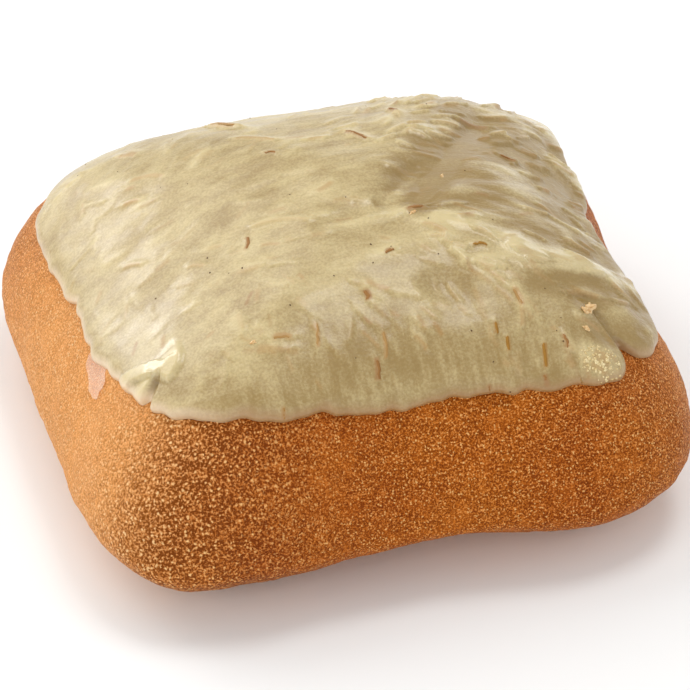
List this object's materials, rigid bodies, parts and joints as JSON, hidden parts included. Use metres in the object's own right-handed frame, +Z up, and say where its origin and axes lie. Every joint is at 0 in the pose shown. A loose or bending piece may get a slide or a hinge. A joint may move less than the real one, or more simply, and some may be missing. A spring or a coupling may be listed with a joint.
{
  "type": "cream bun",
  "caption": "Square pillow-shaped baked bun with a pale icing coat over its top, fine shreds in the icing and a flat base to rest on.",
  "frame": {"origin": "on the table plane, under the middle of the bun's box", "axes": "+Z up out of the icing, -Y out of the front side, +X to the right as seen from the front"},
  "size_m": [0.0944, 0.0965, 0.0446],
  "materials": {
    "crust": "matte, finely grained baked crust",
    "icing": "semi-gloss set icing"
  },
  "bodies": {
    "root": {"bun": "crust", "icing": "icing"}
  },
  "joints": []
}
